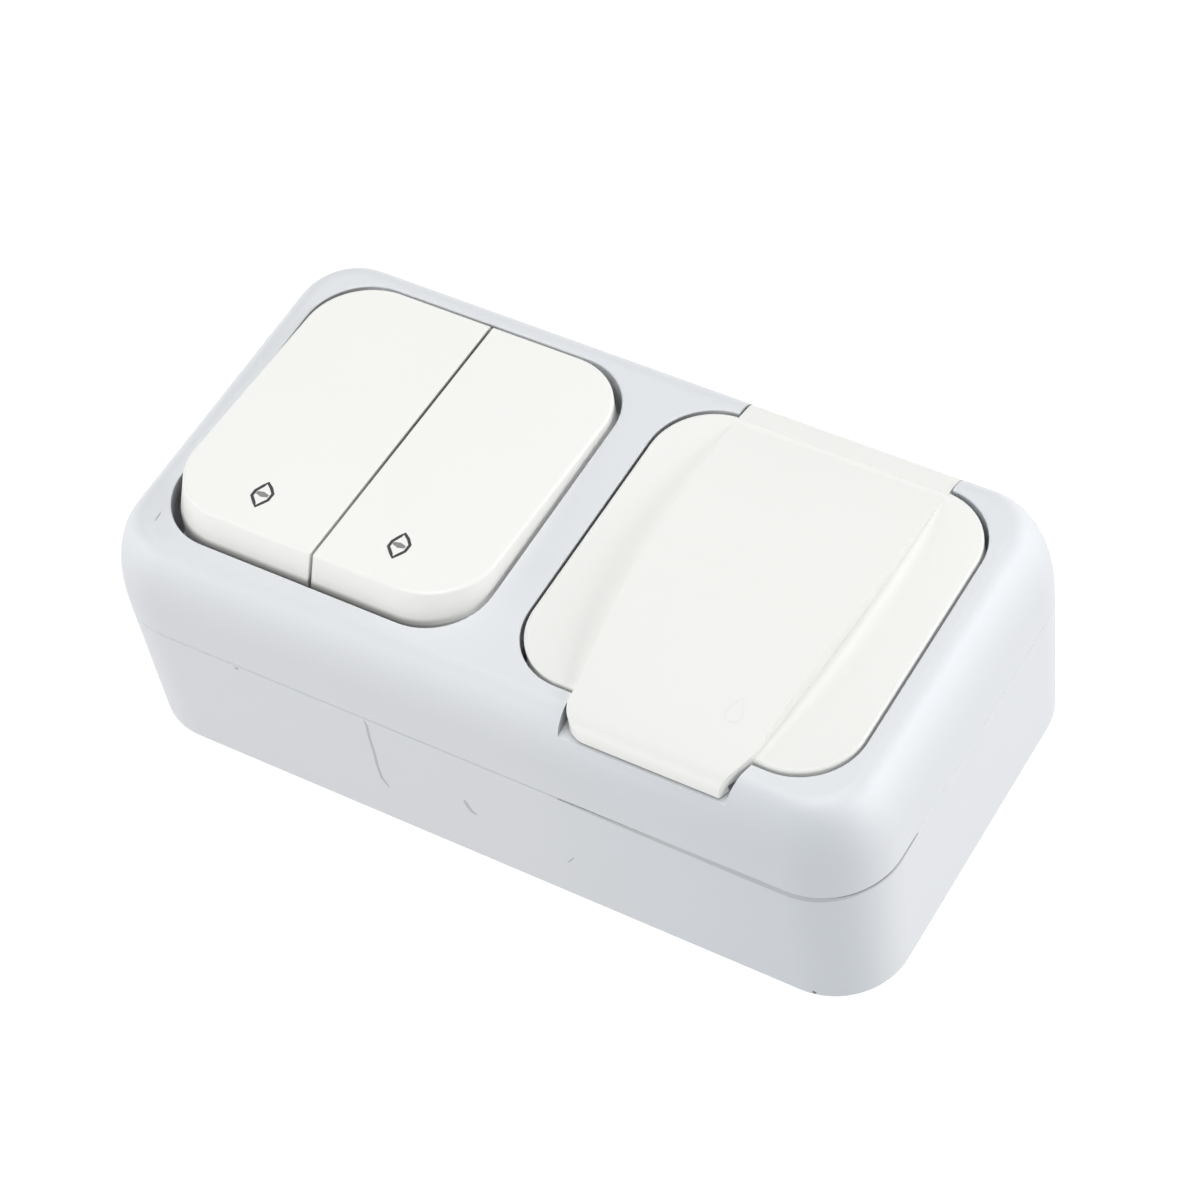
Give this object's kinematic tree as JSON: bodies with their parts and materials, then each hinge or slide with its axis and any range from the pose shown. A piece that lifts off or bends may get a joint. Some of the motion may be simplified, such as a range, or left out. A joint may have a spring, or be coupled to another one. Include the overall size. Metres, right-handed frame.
{
  "type": "surface-mounted twin rocker switch with lidded socket outlet",
  "caption": "Surface-mounted weatherproof box with a twin rocker light switch and an earthed socket outlet under a sprung hinged lid.",
  "frame": {"origin": "centre of the flat back face of the box, which lies against the wall", "axes": "+X along the long side from the switch to the socket, +Y up the wall towards the lid's hinge, +Z out of the wall"},
  "size_m": [0.142, 0.081, 0.0504],
  "materials": {
    "grey_shell": "satin moulded light grey",
    "white_key": "smooth warm white",
    "white_lid": "smooth warm white",
    "white_insert": "smooth warm white",
    "mechanism_plastic": "plain moulded grey white",
    "seal_rubber": "matt black",
    "grommet_rubber": "matt grey",
    "screw_steel": "zinc plated",
    "spring_steel": "plain steel",
    "earth_steel": "plated strip",
    "contact_brass": "plain brass"
  },
  "bodies": {
    "housing": {"base_box": "grey_shell", "front_cover": "grey_shell", "cover_gasket": "seal_rubber", "cable_grommet_left": "grommet_rubber", "cable_grommet_right": "grommet_rubber", "cover_screws": "screw_steel", "switch_base": "mechanism_plastic", "switch_yoke": "mechanism_plastic", "switch_fixing_screws": "screw_steel", "switch_terminals": "contact_brass", "switch_terminal_screws": "screw_steel", "socket_base": "mechanism_plastic", "socket_insert": "white_insert", "socket_fixing_screws": "screw_steel", "pin_sleeve_live": "contact_brass", "pin_sleeve_neutral": "contact_brass", "earth_bracket": "earth_steel", "socket_terminal_screws": "screw_steel", "socket_centre_screw": "screw_steel", "lid_hinge_pin": "spring_steel", "lid_spring": "spring_steel"},
    "rocker_left_body": {"rocker_left": "white_key", "actuator_left": "mechanism_plastic", "plunger_left": "mechanism_plastic", "plunger_spring_left": "spring_steel"},
    "rocker_right_body": {"rocker_right": "white_key", "actuator_right": "mechanism_plastic", "plunger_right": "mechanism_plastic", "plunger_spring_right": "spring_steel"},
    "bridge_left_body": {"contact_bridge_left": "contact_brass"},
    "bridge_right_body": {"contact_bridge_right": "contact_brass"},
    "lid_body": {"lid": "white_lid", "lid_gasket": "seal_rubber"}
  },
  "joints": [
    {"name": "rocker_left_tilt", "type": "hinge", "parent": "housing", "child": "rocker_left_body", "pos_m": [-0.0454, 0.00055, 0.0413], "axis": [1, 0, 0], "range_deg": [0, 7.34]},
    {"name": "rocker_right_tilt", "type": "hinge", "parent": "housing", "child": "rocker_right_body", "pos_m": [-0.0209, 0.00055, 0.0413], "axis": [1, 0, 0], "range_deg": [0, 7.34]},
    {"name": "bridge_left_rock", "type": "hinge", "parent": "housing", "child": "bridge_left_body", "pos_m": [-0.0454, 0.00055, 0.026], "axis": [1, 0, 0], "range_deg": [-16, 0]},
    {"name": "bridge_right_rock", "type": "hinge", "parent": "housing", "child": "bridge_right_body", "pos_m": [-0.0209, 0.00055, 0.026], "axis": [1, 0, 0], "range_deg": [-16, 0]},
    {"name": "lid_hinge", "type": "hinge", "parent": "housing", "child": "lid_body", "pos_m": [0.03315, 0.0324, 0.04335], "axis": [-1, 0, 0], "range_deg": [0, 103], "stiffness_Nm_per_rad": 0.012, "springref_deg": -45.84}
  ],
  "couplings": [
    {"joint": "bridge_left_rock", "follows": "rocker_left_tilt", "ratio": -2.1798},
    {"joint": "bridge_right_rock", "follows": "rocker_right_tilt", "ratio": -2.1798}
  ]
}
